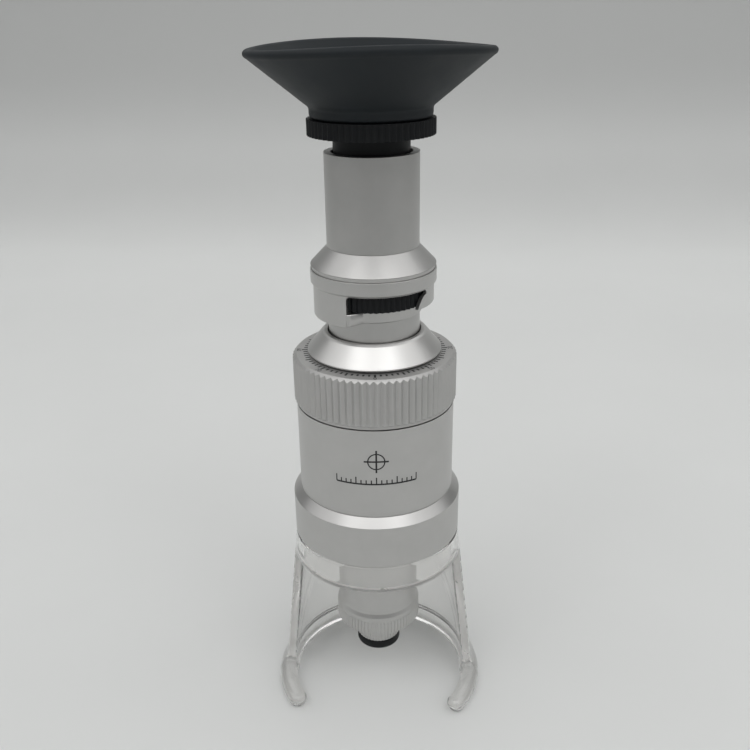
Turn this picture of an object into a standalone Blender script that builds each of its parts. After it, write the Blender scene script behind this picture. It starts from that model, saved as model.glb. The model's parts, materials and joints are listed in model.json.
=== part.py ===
"""Stand microscope loupe: a focusing tube on a clear horseshoe stand, with a graduated focus ring,
a turning reticle wheel, and an eyepiece under a wide rubber cup.

Everything is turned about the world Z axis. Lengths below are in millimetres from the surface that
the stand rests on, and MM turns them into metres. The open front of the stand faces -Y.
Angles are in degrees round Z, counted from the front towards +X.
"""

from math import asin, cos, hypot, pi, radians, sin, sqrt

import bmesh
import bpy
from mathutils import Matrix, Vector

MM = 0.001
FINE, MEDIUM, COARSE = 44, 28, 16  # sides of a large, a middling and a small turned piece
FIT = 0.15  # gap between pieces that are screwed or pressed together
RUN = 0.25  # gap between pieces that turn or slide

# Clear stand
FOOT_MID_R = 21.05
FOOT_HALF_WIDTH = 2.0
FOOT_HALF_HEIGHT = 1.75
FOOT_RISE = 1.5  # height of the middle of the foot's section, so that it rests on a flat
FOOT_OPENING = 51.5  # each end of the horseshoe, measured from the front
WALL_TOP_Z, WALL_TOP_R = 40.95, 17.33
WALL_SLOPE = 0.108  # radius gained for each millimetre down
WALL_THICK = 1.9
WALL_FOOT_Z = 2.0
WINDOW_TOP = 35.4
WINDOW_BACK_Y = -1.3
WINDOW_CORNER = 1.5
CLEAR_OF_STAND = 9  # how far the stand's cutters reach beyond it
NECK_R, NECK_BORE_R, NECK_TOP_Z = 15.9, 14.4, 46.5

# Fixed body
COLLAR_R, COLLAR_BOTTOM, COLLAR_CHAMFER, COLLAR_TOP = 17.41, 41.1, 50.15, 51.9
SHELF_BOTTOM, SHELF_TOP, SHELF_BORE = 46.8, 48.2, 12.2
SLEEVE_R, SLEEVE_BORE, SLEEVE_TOP = 15.85, 13.3, 70.65
SPIGOT_R, SPIGOT_BOTTOM = 14.7, 49.8
GUIDE_R, GUIDE_BORE, GUIDE_TOP = 11.4, 9.15, 82.6
SLOT_WIDTH, SLOT_BOTTOM, SLOT_TOP = 3.0, 60.2, 73.8
CONE_R, CONE_BOTTOM, CONE_EDGE, CONE_TOP = 13.21, 81.5, 81.95, 85.6
CONE_BREAK = 0.16  # bevel on the cone's lower edge
CONE_TIP_FLAT_R, CONE_TIP_R = 9.85, 10.3
WASHER_R, WASHER_BORE, WASHER_Z = 14.6, 13.6, 71.32
WASHER_HALF_THICK, WASHER_WAVE, WASHER_WAVES = 0.15, 0.32, 3

# Focus ring and the nut below it
RING_R, RING_BOTTOM, RING_TOP, RING_CHAMFER = 16.26, 70.9, 81.05, 0.7
RING_TEETH, RING_TOOTH_DEPTH = 72, 0.42
RING_BORE, RING_WEB, RING_SKIRT_R = 11.65, 74.0, 15.05
RING_FOOT, RING_TOOTH_START = 0.6, 0.8  # heights above the ring's bottom: plain foot, then teeth
NUT_FLANGE_R, NUT_FLANGE_BOTTOM, NUT_R, NUT_BOTTOM = 14.6, 72.0, 12.95, 57.0
NUT_BORE, NUT_THREAD_R, NUT_THREAD_BOTTOM = 11.7, 12.25, 59.5
NUT_SCREW_CIRCLE, NUT_SCREW_HEAD_R, NUT_SCREW_R = 13.45, 0.75, 0.5
NUT_SCREW_ANGLES = (60, 180, 300)
NUT_SCREW_REACH, NUT_SCREW_HEAD = 4.0, 0.75  # length above the web, and height of the head

# Sliding optical tube
TUBE_R, TUBE_BORE, TUBE_BOTTOM = 8.91, 7.6, 60.3
SILL_BOTTOM, SILL_TOP, SILL_R, SILL_FRONT_R = 89.75, 91.7, 10.5, 9.4
SILL_FRONT = (-38, 126)  # stretch where the sill is cut back under the wheel
PILOT_R, PILOT_BORE, PILOT_TOP = 5.6, 5.0, 92.7
KEY_WIDTH, KEY_BOTTOM, KEY_TOP = 2.6, 64.0, 70.0
STUD_R, STUD_Z = 0.7, (KEY_BOTTOM + KEY_TOP) / 2
NOSE_R, NOSE_BORE, NOSE_BOTTOM, NOSE_THREAD_BORE = 8.57, 7.3, 20.6, 6.6
THREAD = 4  # length of the screwed joints at both ends of the nose barrel
NOSE_RING_R, NOSE_RING_BOTTOM, NOSE_RING_TOP = 9.09, 17.6, 20.45
NOSE_RING_TEETH, NOSE_RING_TOOTH_DEPTH = 36, 0.2
NOSE_RING_SEAT_R, NOSE_RING_SEAT, NOSE_RING_BORE = 4.55, 2, 5.9
CELL_R, CELL_BORE, CELL_BOTTOM, CELL_SHOULDER = 4.79, 3.6, 12.2, 17.45
CELL_THREAD_R, CELL_TOP = 4.35, 23.0
TIP_BOTTOM, TIP_HOLE_R, TIP_SPIGOT = 10.0, 2.0, 1.5
OBJECTIVE_LENS_R, OBJECTIVE_STOP_R = 3.4, 2.8
FRONT_LENS, REAR_LENS = (13.9, 16.0), (18.2, 20.4)
OBJECTIVE_SPACER, OBJECTIVE_RETAINER = (16.1, 18.0), (20.6, 21.6)
BAFFLE, BAFFLE_HOLE_R = (38.0, 38.8), 3.2

# Reticle housing, between the tube and the eyepiece tube
HOUSING_R, HOUSING_BORE, HOUSING_RIM_R = 11.6, 10.85, 12.07
HOUSING_BOTTOM, HOUSING_RIM_BOTTOM, HOUSING_TOP = 89.2, 95.2, 98.1
HOUSING_WEB, HOUSING_WEB_THICK, HOUSING_WEB_BORE = 95.4, 0.5, 7.4
HOUSING_SCREW_ANGLES, HOUSING_SCREW_Z, HOUSING_SCREW_R = (150, 240), 90.9, 0.55
HOUSING_SCREW_TIP = 9.0  # distance of the screws' inner ends from the axis
CAP_SPIGOT_R, CAP_BORE = 9.6, 8.05
CAP_SCREW_ANGLE, CAP_SCREW_R, CAP_SCREW_LENGTH = 62, 0.35, 1.4
WHEEL_WINDOW = (-22.5, 62.5)  # open stretch of the housing wall
TAB_END = 122.0  # the wall is shorter from the window to here
TAB_BOTTOM = 90.8
WHEEL_R, WHEEL_BOTTOM, WHEEL_TOP, WHEEL_TEETH, WHEEL_TOOTH_DEPTH = 10.6, 91.95, 95.15, 40, 0.35
GLASS_R, GLASS_SEAT, GLASS_THICK, GLASS_STOP_R = 7.0, 0.95, 1.0, 5.9
CAP_TOP, CAP_EDGE = 102.3, 98.9

# Eyepiece
EYE_TUBE_R, EYE_TUBE_BORE, EYE_TUBE_TOP = 8.78, 7.5, 119.55
EYE_TUBE_SPIGOT_R, EYE_TUBE_STOP_BORE, EYE_TUBE_BOTTOM, EYE_TUBE_STOP = 7.9, 6.9, 96.3, 100.0
BARREL_R, BARREL_BORE, BARREL_BOTTOM, BARREL_TOP = 7.06, 6.0, 103.6, 125.3
SLEEVE_GROOVE, SLEEVE_GROOVE_R = (104.75, 112.25), 6.6
FRICTION_R, FRICTION_BORE = 7.36, 6.78
EYE_RING_R, EYE_RING_BOTTOM, EYE_RING_TOP = 11.65, 122.5, 125.4
EYE_RING_TEETH, EYE_RING_TOOTH_DEPTH = 40, 0.35
EYE_RING_NECK_R, EYE_RING_NECK_TOP = 9.2, 128.8
EYE_RING_MOUTH = 2.2  # how far the neck's inside opens out towards the eye
EYE_LENS_R, EYE_STOP_R, EYE_SPACER_BORE = 5.8, 4.9, 5.1
FIELD_RETAINER, FIELD_LENS, LENS_SPACER = (104.2, 105.6), (105.8, 109.0), (109.0, 119.0)
EYE_LENS, EYE_RETAINER = (119.2, 123.1), (123.3, 125.0)
CUP_NECK_R, CUP_BOTTOM, CUP_NECK_TOP = 11.12, 125.65, 127.3
CUP_RIM_R, CUP_RIM_Z, CUP_BEAD_R, CUP_THICK = 21.2, 136.9, 0.9, 1.3
CUP_LIP_R, CUP_LIP_THICK = 8.6, 1.0

PARTS = "stand_microscope"
CUTTERS = "cutters"

# The pieces that move with each joint, under the empty that lies on its axis
GROUPS = {
    "axis_focus_ring": ("focus_ring", "focus_nut", "nut_screw_1", "nut_screw_2", "nut_screw_3"),
    "axis_optical_tube": (
        "main_tube", "focus_key", "nose_barrel", "nose_ring", "objective_cell", "objective_tip",
        "objective_front_lens", "objective_spacer", "objective_rear_lens", "objective_retainer",
        "tube_baffle", "reticle_housing", "housing_screw_1", "housing_screw_2", "housing_cap",
        "cap_set_screw", "eyepiece_tube",
    ),
    "axis_reticle_wheel": ("reticle_wheel", "reticle_glass", "reticle_retainer"),
    "axis_eyepiece": (
        "friction_sleeve", "eyepiece_barrel", "eyepiece_ring", "rubber_eyecup", "eye_lens",
        "eye_lens_retainer", "lens_spacer", "field_lens", "field_lens_retainer",
    ),
}

MATERIALS = {
    "clear_acrylic": ((0.93, 0.95, 0.95), 0.05, 0.0),
    "satin_aluminium": ((0.62, 0.62, 0.60), 0.35, 1.0),
    "inner_aluminium": ((0.45, 0.45, 0.45), 0.45, 1.0),
    "black_anodised": ((0.02, 0.02, 0.022), 0.45, 0.6),
    "black_rubber": ((0.03, 0.033, 0.036), 0.75, 0.0),
    "brass": ((0.66, 0.50, 0.24), 0.35, 1.0),
    "steel": ((0.50, 0.50, 0.52), 0.30, 1.0),
    "nylon": ((0.75, 0.74, 0.70), 0.50, 0.0),
    "lens_glass": ((0.85, 0.92, 0.95), 0.02, 0.0),
}


# ---- scene, collections and materials ---------------------------------------------------------


def clear_scene():
    for obj in list(bpy.data.objects):
        bpy.data.objects.remove(obj, do_unlink=True)


def make_collection(name):
    collection = bpy.data.collections.new(name)
    bpy.context.scene.collection.children.link(collection)
    return collection


def make_material(name):
    color, roughness, metallic = MATERIALS[name]
    material = bpy.data.materials.get(name) or bpy.data.materials.new(name)
    material.use_nodes = True
    shader = material.node_tree.nodes["Principled BSDF"]
    shader.inputs["Base Color"].default_value = (*color, 1.0)
    shader.inputs["Roughness"].default_value = roughness
    shader.inputs["Metallic"].default_value = metallic
    return material


def add_object(name, mesh, material=None):
    """An object for this mesh: a part where it has a material, and otherwise a cutter."""
    obj = bpy.data.objects.new(name, mesh)
    bpy.data.collections[PARTS if material else CUTTERS].objects.link(obj)
    if material:
        mesh.materials.clear()
        mesh.materials.append(make_material(material))
        mesh.shade_smooth()
        mesh.set_sharp_from_angle(angle=radians(30))
    else:
        obj.hide_render = True
        obj.display_type = "WIRE"
    return obj


def evaluated_mesh(obj):
    """The object's mesh with its modifiers applied. The object itself is removed."""
    graph = bpy.context.evaluated_depsgraph_get()
    mesh = bpy.data.meshes.new_from_object(obj.evaluated_get(graph), depsgraph=graph)
    bpy.data.objects.remove(obj, do_unlink=True)
    return mesh


# ---- shapes -----------------------------------------------------------------------------------


def turned_mesh(name, profile, sides):
    """A profile of (radius, height) points turned about Z, down the outside and back up the inside.

    A profile that starts and ends on the axis makes a solid piece. Any other is closed into a loop.
    """
    solid = profile[0][0] == 0 and profile[-1][0] == 0
    mesh = bpy.data.meshes.new(name)
    edges = [(i, i + 1) for i in range(len(profile) - 1)]
    if not solid:
        edges.append((len(profile) - 1, 0))
    mesh.from_pydata([(r * MM, 0, z * MM) for r, z in profile], edges, [])
    obj = add_object(name + "_profile", mesh)
    screw = obj.modifiers.new("Screw", "SCREW")
    screw.steps = screw.render_steps = sides
    screw.use_merge_vertices = True
    screw.merge_threshold = 1e-6
    return evaluated_mesh(obj)


def turned(name, profile, material, sides=MEDIUM):
    return add_object(name, turned_mesh(name, profile, sides), material)


def knurled(name, profile, material, teeth, depth, low, high):
    """A turned piece whose outside has straight teeth between the heights low and high."""
    mesh = turned_mesh(name, profile, 2 * teeth)
    outer = max(r for r, z in profile)
    pitch = pi / teeth
    for vertex in mesh.vertices:
        radius = hypot(vertex.co.x, vertex.co.y) / MM
        in_valley = round(Vector((1, 0)).angle_signed(vertex.co.xy) / pitch) % 2
        if in_valley and radius > outer - depth and low < vertex.co.z / MM < high:
            vertex.co.xy *= (outer - depth) / radius
    return add_object(name, mesh, material)


def ring_profile(outer, inner, bottom, top):
    return [(outer, top), (outer, bottom), (inner, bottom), (inner, top)]


def lens_profile(radius, bottom, top, bulge_down, bulge_up, steps=4):
    """A lens whose faces bulge by these heights inside its span from bottom to top."""

    def face(edge_z, bulge):
        curve = (radius**2 + bulge**2) / (2 * abs(bulge))
        sign = 1 if bulge > 0 else -1
        for i in range(steps + 1):
            r = radius * i / steps
            yield r, edge_z + sign * (sqrt(curve**2 - r**2) - sqrt(curve**2 - radius**2))

    upper = list(face(top - max(bulge_up, 0), bulge_up))
    lower = list(face(bottom + max(bulge_down, 0), -bulge_down))
    return upper + lower[::-1]


def box_mesh(name, low, high, round_edge=0.0):
    """A box between two corners, in millimetres. Its edges along X are rounded."""
    low, high = Vector(low), Vector(high)
    mesh = bpy.data.meshes.new(name)
    shape = bmesh.new()
    bmesh.ops.create_cube(shape, size=1)
    bmesh.ops.scale(shape, vec=(high - low) * MM, verts=shape.verts)
    bmesh.ops.translate(shape, vec=(low + high) / 2 * MM, verts=shape.verts)
    if round_edge:
        along_x = [e for e in shape.edges if abs(e.verts[0].co.x - e.verts[1].co.x) > 1e-6]
        offset = round_edge * MM
        bmesh.ops.bevel(shape, geom=along_x, offset=offset, segments=5, profile=0.5, affect="EDGES")
    shape.to_mesh(mesh)
    shape.free()
    return mesh


def box_cutter(name, low, high, round_edge=0.0):
    return add_object(name, box_mesh(name, low, high, round_edge))


def sector_cutter(name, start, end, inner, outer, bottom, top, steps=16):
    """A block that fills an arc of a ring, from the angle start to the angle end."""
    mesh = bpy.data.meshes.new(name)
    shape = bmesh.new()
    angles = [radians(start + (end - start) * i / steps) for i in range(steps + 1)]
    outline = [(outer, a) for a in angles] + [(inner, a) for a in reversed(angles)]
    corners = [shape.verts.new((r * sin(a) * MM, -r * cos(a) * MM, bottom * MM)) for r, a in outline]
    face = shape.faces.new(corners)
    raised = bmesh.ops.extrude_face_region(shape, geom=[face])["geom"]
    top_corners = [v for v in raised if isinstance(v, bmesh.types.BMVert)]
    bmesh.ops.translate(shape, vec=(0, 0, (top - bottom) * MM), verts=top_corners)
    bmesh.ops.recalc_face_normals(shape, faces=shape.faces)
    shape.to_mesh(mesh)
    shape.free()
    return add_object(name, mesh)


def rod_mesh(name, radius, start, end, sides=16):
    """A round rod between two points, in millimetres."""
    start, end = Vector(start), Vector(end)
    mesh = bpy.data.meshes.new(name)
    shape = bmesh.new()
    bmesh.ops.create_cone(
        shape,
        cap_ends=True,
        segments=sides,
        radius1=radius * MM,
        radius2=radius * MM,
        depth=(end - start).length * MM,
    )
    turn = (end - start).to_track_quat("Z", "Y").to_matrix().to_4x4()
    place = Matrix.Translation((start + end) / 2 * MM) @ turn
    bmesh.ops.transform(shape, matrix=place, verts=shape.verts)
    shape.to_mesh(mesh)
    shape.free()
    return mesh


def boolean(obj, other, operation="DIFFERENCE"):
    modifier = obj.modifiers.new(other.name, "BOOLEAN")
    modifier.operation = operation
    modifier.solver = "EXACT"
    modifier.object = other


def polar(radius, angle, z):
    """The point at this radius, angle from the front, and height."""
    a = radians(angle)
    return (radius * sin(a), -radius * cos(a), z)


def drill(obj, name, radius, start, end):
    boolean(obj, add_object(name, rod_mesh(name, radius, start, end)))


# ---- fixed body -------------------------------------------------------------------------------


def foot_bar():
    """The horseshoe that the stand rests on: a flattened round bar with rounded ends."""
    end_turn = 2 * asin(FOOT_HALF_WIDTH / FOOT_MID_R / 2)
    start = radians(FOOT_OPENING) + end_turn
    cap_steps, arc_steps = 5, 60
    stations = []
    for i in range(cap_steps):
        t = (i + 0.3) / cap_steps * pi / 2
        stations.append((start - end_turn * cos(t), sin(t)))
    stations += [(start + (pi - start) * i / (arc_steps / 2), 1.0) for i in range(arc_steps // 2 + 1)]
    stations += [(2 * pi - angle, size) for angle, size in reversed(stations[:-1])]

    curve = bpy.data.curves.new("foot_path", "CURVE")
    curve.dimensions = "3D"
    curve.bevel_depth = FOOT_HALF_WIDTH * MM
    curve.bevel_resolution = 3
    curve.use_fill_caps = True
    spline = curve.splines.new("POLY")
    spline.points.add(len(stations) - 1)
    for point, (angle, size) in zip(spline.points, stations):
        point.co = (FOOT_MID_R * sin(angle) * MM, -FOOT_MID_R * cos(angle) * MM, 0, 1)
        point.radius = size
    path = bpy.data.objects.new("foot_path", curve)
    bpy.data.collections[CUTTERS].objects.link(path)
    mesh = evaluated_mesh(path)
    shape = bmesh.new()
    shape.from_mesh(mesh)
    bmesh.ops.remove_doubles(shape, verts=shape.verts, dist=1e-6)
    flatten = Matrix.Diagonal((1, 1, FOOT_HALF_HEIGHT / FOOT_HALF_WIDTH, 1))
    place = Matrix.Translation((0, 0, FOOT_RISE * MM)) @ flatten
    bmesh.ops.transform(shape, matrix=place, verts=shape.verts)
    bmesh.ops.recalc_face_normals(shape, faces=shape.faces)
    shape.to_mesh(mesh)
    shape.free()
    return add_object("foot_bar", mesh)


def make_clear_stand():
    def wall_r(z):
        return WALL_TOP_R + WALL_SLOPE * (WALL_TOP_Z - z)

    profile = [
        (NECK_R, NECK_TOP_Z),
        (NECK_R, WALL_TOP_Z),
        (wall_r(WALL_TOP_Z), WALL_TOP_Z),
        (wall_r(WALL_FOOT_Z), WALL_FOOT_Z),
        (wall_r(WALL_FOOT_Z) - WALL_THICK, WALL_FOOT_Z),
        (wall_r(WALL_TOP_Z) - WALL_THICK, WALL_TOP_Z),
        (NECK_BORE_R, WALL_TOP_Z + 1),
        (NECK_BORE_R, NECK_TOP_Z),
    ]
    stand = turned("clear_stand", profile, "clear_acrylic", FINE)
    reach, below = FOOT_MID_R + CLEAR_OF_STAND, -CLEAR_OF_STAND
    low, high = (-reach, -reach, below), (reach, WINDOW_BACK_Y, WINDOW_TOP)
    window = box_cutter("front_window", low, high, WINDOW_CORNER)
    floor = box_cutter("floor", (-reach, -reach, below), (reach, reach, 0))
    boolean(stand, window)
    boolean(stand, foot_bar(), "UNION")
    boolean(stand, floor)


def make_base_collar():
    profile = [
        (SLEEVE_R + 0.05, COLLAR_TOP),
        (COLLAR_R, COLLAR_CHAMFER),
        (COLLAR_R, COLLAR_BOTTOM + 0.2),
        (COLLAR_R - 0.2, COLLAR_BOTTOM),
        (NECK_R + FIT, COLLAR_BOTTOM),
        (NECK_R + FIT, SHELF_BOTTOM),
        (SHELF_BORE, SHELF_BOTTOM),
        (SHELF_BORE, SHELF_TOP),
        (SPIGOT_R + FIT, SHELF_TOP),
        (SPIGOT_R + FIT, COLLAR_TOP),
    ]
    turned("base_collar", profile, "satin_aluminium", FINE)


def make_body_sleeve():
    bottom = COLLAR_TOP + 0.1
    profile = [
        (SLEEVE_R, SLEEVE_TOP),
        (SLEEVE_R, bottom),
        (SPIGOT_R, bottom),
        (SPIGOT_R, SPIGOT_BOTTOM),
        (SLEEVE_BORE, SPIGOT_BOTTOM),
        (SLEEVE_BORE, SLEEVE_TOP),
    ]
    turned("body_sleeve", profile, "satin_aluminium", FINE)


def make_guide_tube():
    """The fixed tube that the optical tube slides in, with the slot that keeps it from turning."""
    flange_bottom, flange_top = SHELF_TOP + FIT, SPIGOT_BOTTOM - FIT
    profile = [
        (GUIDE_R, GUIDE_TOP),
        (GUIDE_R, flange_top),
        (SPIGOT_R, flange_top),
        (SPIGOT_R, flange_bottom),
        (GUIDE_BORE, flange_bottom),
        (GUIDE_BORE, GUIDE_TOP),
    ]
    guide = turned("guide_tube", profile, "inner_aluminium")
    half = SLOT_WIDTH / 2
    low, high = (-half, GUIDE_BORE - 1, SLOT_BOTTOM), (half, GUIDE_R + 1, SLOT_TOP)
    boolean(guide, box_cutter("key_slot", low, high))


def make_cone_collar():
    lip = GUIDE_TOP + FIT + 0.1
    profile = [
        (CONE_TIP_FLAT_R, CONE_TOP),
        (CONE_TIP_R, CONE_TOP - 0.35),
        (CONE_R - CONE_BREAK, CONE_EDGE),
        (CONE_R, CONE_EDGE - CONE_BREAK),
        (CONE_R, CONE_BOTTOM),
        (GUIDE_R + FIT, CONE_BOTTOM),
        (GUIDE_R + FIT, lip),
        (TUBE_R + RUN, lip),
        (TUBE_R + RUN, CONE_TOP),
    ]
    turned("cone_collar", profile, "satin_aluminium", FINE)


def make_wave_washer():
    """A thin ring bent into waves, which keeps a light drag on the focus ring."""
    bottom, top = WASHER_Z - WASHER_HALF_THICK, WASHER_Z + WASHER_HALF_THICK
    mesh = turned_mesh("wave_washer", ring_profile(WASHER_R, WASHER_BORE, bottom, top), MEDIUM)
    for vertex in mesh.vertices:
        angle = Vector((1, 0)).angle_signed(vertex.co.xy)
        vertex.co.z += WASHER_WAVE * sin(WASHER_WAVES * angle) * MM
    add_object("wave_washer", mesh, "steel")


# ---- focus ring -------------------------------------------------------------------------------


def nut_screw_places():
    for turn in NUT_SCREW_ANGLES:
        yield turn, polar(NUT_SCREW_CIRCLE, turn, 0)


def make_focus_ring():
    foot_r = RING_R - RING_TOOTH_DEPTH - 0.02
    profile = [
        (RING_R - RING_CHAMFER, RING_TOP),
        (RING_R, RING_TOP - RING_CHAMFER),
        (RING_R, RING_BOTTOM + RING_TOOTH_START),
        (foot_r, RING_BOTTOM + RING_FOOT),
        (foot_r, RING_BOTTOM),
        (RING_SKIRT_R, RING_BOTTOM),
        (RING_SKIRT_R, RING_WEB),
        (RING_BORE, RING_WEB),
        (RING_BORE, RING_TOP),
    ]
    low, high = RING_BOTTOM + RING_FOOT + 0.1, RING_TOP - 0.1
    ring = knurled("focus_ring", profile, "satin_aluminium", RING_TEETH, RING_TOOTH_DEPTH, low, high)
    hole_top = RING_WEB + NUT_SCREW_REACH + 0.3
    for turn, (x, y, _) in nut_screw_places():
        drill(ring, f"ring_hole_{turn}", NUT_SCREW_R + FIT, (x, y, RING_WEB - 1), (x, y, hole_top))


def make_focus_nut():
    top = RING_WEB - 0.2
    profile = [
        (NUT_FLANGE_R, top),
        (NUT_FLANGE_R, NUT_FLANGE_BOTTOM),
        (NUT_R, NUT_FLANGE_BOTTOM),
        (NUT_R, NUT_BOTTOM),
        (NUT_BORE, NUT_BOTTOM),
        (NUT_BORE, NUT_THREAD_BOTTOM),
        (NUT_THREAD_R, NUT_THREAD_BOTTOM),
        (NUT_THREAD_R, top),
    ]
    nut = turned("focus_nut", profile, "brass")
    below, seat = NUT_FLANGE_BOTTOM - 1, NUT_FLANGE_BOTTOM + NUT_SCREW_HEAD + 0.2
    for turn, (x, y, _) in nut_screw_places():
        drill(nut, f"nut_hole_{turn}", NUT_SCREW_R + FIT, (x, y, below), (x, y, top + 1))
        drill(nut, f"nut_seat_{turn}", NUT_SCREW_HEAD_R + FIT, (x, y, below), (x, y, seat))


def make_nut_screws():
    head_z, tip = NUT_FLANGE_BOTTOM + 0.05, RING_WEB + NUT_SCREW_REACH
    profile = [
        (0, tip),
        (NUT_SCREW_R, tip),
        (NUT_SCREW_R, head_z + NUT_SCREW_HEAD),
        (NUT_SCREW_HEAD_R, head_z + NUT_SCREW_HEAD),
        (NUT_SCREW_HEAD_R, head_z),
        (0, head_z),
    ]
    for number, (_, (x, y, _)) in enumerate(nut_screw_places(), 1):
        screw = turned(f"nut_screw_{number}", profile, "steel", 12)
        screw.location = (x * MM, y * MM, 0)


# ---- sliding optical tube ---------------------------------------------------------------------


def make_main_tube():
    profile = [
        (PILOT_R, PILOT_TOP),
        (PILOT_R, SILL_TOP),
        (SILL_R, SILL_TOP),
        (SILL_R, SILL_BOTTOM),
        (TUBE_R, SILL_BOTTOM),
        (TUBE_R, TUBE_BOTTOM),
        (TUBE_BORE, TUBE_BOTTOM),
        (TUBE_BORE, SILL_BOTTOM - 0.5),
        (PILOT_BORE, SILL_BOTTOM + 0.8),
        (PILOT_BORE, PILOT_TOP),
    ]
    tube = turned("main_tube", profile, "satin_aluminium", FINE)
    drill(tube, "stud_hole", STUD_R + FIT, (0, TUBE_BORE - 1, STUD_Z), (0, TUBE_R + 1, STUD_Z))
    below, above = SILL_BOTTOM - 1, SILL_TOP + 1
    front = sector_cutter("sill_front", *SILL_FRONT, SILL_FRONT_R, SILL_R + 1, below, above, 24)
    boolean(tube, front)
    for angle in HOUSING_SCREW_ANGLES:
        start, end = (polar(r, angle, HOUSING_SCREW_Z) for r in (HOUSING_SCREW_TIP - 0.2, SILL_R + 1))
        drill(tube, f"sill_hole_{angle}", HOUSING_SCREW_R + FIT, start, end)


def make_focus_key():
    """The block that rides in the guide tube's slot and meets the focus nut's thread."""
    half = KEY_WIDTH / 2
    low, high = (-half, TUBE_R + FIT, KEY_BOTTOM), (half, NUT_THREAD_R - RUN, KEY_TOP)
    key = add_object("focus_key", box_mesh("focus_key", low, high), "brass")
    stud = rod_mesh("key_stud", STUD_R, (0, TUBE_BORE + 0.1, STUD_Z), (0, TUBE_R + 1, STUD_Z))
    boolean(key, add_object("key_stud", stud), "UNION")


def make_nose_barrel():
    shoulder = TUBE_BOTTOM - FIT
    profile = [
        (TUBE_BORE - FIT, shoulder + THREAD),
        (TUBE_BORE - FIT, shoulder),
        (NOSE_R, shoulder),
        (NOSE_R, NOSE_BOTTOM),
        (NOSE_BORE, NOSE_BOTTOM),
        (NOSE_BORE, shoulder - 4),
        (NOSE_THREAD_BORE, shoulder - 2),
        (NOSE_THREAD_BORE, shoulder + THREAD),
    ]
    turned("nose_barrel", profile, "satin_aluminium")


def make_nose_ring():
    spigot_top, seat = NOSE_RING_TOP + 3, NOSE_RING_BOTTOM + NOSE_RING_SEAT
    profile = [
        (NOSE_BORE - FIT, spigot_top),
        (NOSE_BORE - FIT, NOSE_RING_TOP),
        (NOSE_RING_R, NOSE_RING_TOP),
        (NOSE_RING_R, NOSE_RING_BOTTOM),
        (NOSE_RING_SEAT_R, NOSE_RING_BOTTOM),
        (NOSE_RING_SEAT_R, seat),
        (NOSE_RING_BORE, seat),
        (NOSE_RING_BORE, spigot_top),
    ]
    teeth, depth = NOSE_RING_TEETH, NOSE_RING_TOOTH_DEPTH
    low, high = NOSE_RING_BOTTOM - 0.1, NOSE_RING_TOP + 0.1
    knurled("nose_ring", profile, "satin_aluminium", teeth, depth, low, high)


def make_objective_mount():
    profile = [
        (CELL_THREAD_R, CELL_TOP),
        (CELL_THREAD_R, CELL_SHOULDER),
        (CELL_R, CELL_SHOULDER),
        (CELL_R, CELL_BOTTOM),
        (CELL_BORE, CELL_BOTTOM),
        (CELL_BORE, CELL_TOP),
    ]
    turned("objective_cell", profile, "satin_aluminium", COARSE)
    tip_top = CELL_BOTTOM - 0.1
    profile = [
        (CELL_BORE - FIT, tip_top + TIP_SPIGOT),
        (CELL_BORE - FIT, tip_top),
        (CELL_R, tip_top),
        (CELL_R, TIP_BOTTOM + 0.5),
        (CELL_R - 0.15, TIP_BOTTOM + 0.15),
        (CELL_R - 0.5, TIP_BOTTOM),
        (TIP_HOLE_R + 0.3, TIP_BOTTOM),
        (TIP_HOLE_R, TIP_BOTTOM + 0.4),
        (TIP_HOLE_R + 0.7, tip_top + TIP_SPIGOT),
    ]
    turned("objective_tip", profile, "black_anodised", COARSE)


def make_objective_optics():
    r, stop_r, black = OBJECTIVE_LENS_R, OBJECTIVE_STOP_R, "black_anodised"
    turned("objective_front_lens", lens_profile(r, *FRONT_LENS, 0.3, 0.5, 3), "lens_glass", COARSE)
    turned("objective_spacer", ring_profile(r, stop_r, *OBJECTIVE_SPACER), black, COARSE)
    turned("objective_rear_lens", lens_profile(r, *REAR_LENS, 0.5, 0.3, 3), "lens_glass", COARSE)
    turned("objective_retainer", ring_profile(r, stop_r, *OBJECTIVE_RETAINER), black, COARSE)
    turned("tube_baffle", ring_profile(NOSE_BORE - FIT, BAFFLE_HOLE_R, *BAFFLE), black, COARSE)


def make_reticle_housing():
    profile = [
        (HOUSING_RIM_R, HOUSING_TOP),
        (HOUSING_RIM_R, HOUSING_RIM_BOTTOM + 0.45),
        (HOUSING_R, HOUSING_RIM_BOTTOM),
        (HOUSING_R, HOUSING_BOTTOM),
        (HOUSING_BORE, HOUSING_BOTTOM),
        (HOUSING_BORE, HOUSING_WEB),
        (HOUSING_WEB_BORE, HOUSING_WEB),
        (HOUSING_WEB_BORE, HOUSING_WEB + HOUSING_WEB_THICK),
        (CAP_SPIGOT_R + FIT, HOUSING_WEB + HOUSING_WEB_THICK),
        (CAP_SPIGOT_R + FIT, HOUSING_TOP),
    ]
    housing = turned("reticle_housing", profile, "satin_aluminium", FINE)
    start, end = WHEEL_WINDOW
    below, rim = HOUSING_BOTTOM - 1, HOUSING_RIM_BOTTOM + 0.02
    inner, outer = HOUSING_BORE - 0.5, HOUSING_RIM_R + 1
    boolean(housing, sector_cutter("wheel_window", start, end, inner, outer, below, rim))
    boolean(housing, sector_cutter("short_wall", end - 5, TAB_END, inner, outer, below, TAB_BOTTOM))
    for angle in HOUSING_SCREW_ANGLES:
        start, end = (polar(r, angle, HOUSING_SCREW_Z) for r in (HOUSING_BORE - 1, HOUSING_R + 1))
        drill(housing, f"wall_hole_{angle}", HOUSING_SCREW_R + FIT, start, end)


def make_housing_screws():
    for number, angle in enumerate(HOUSING_SCREW_ANGLES, 1):
        name = f"housing_screw_{number}"
        start, end = (polar(r, angle, HOUSING_SCREW_Z) for r in (HOUSING_SCREW_TIP, HOUSING_R - 0.1))
        add_object(name, rod_mesh(name, HOUSING_SCREW_R, start, end), "steel")


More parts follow.
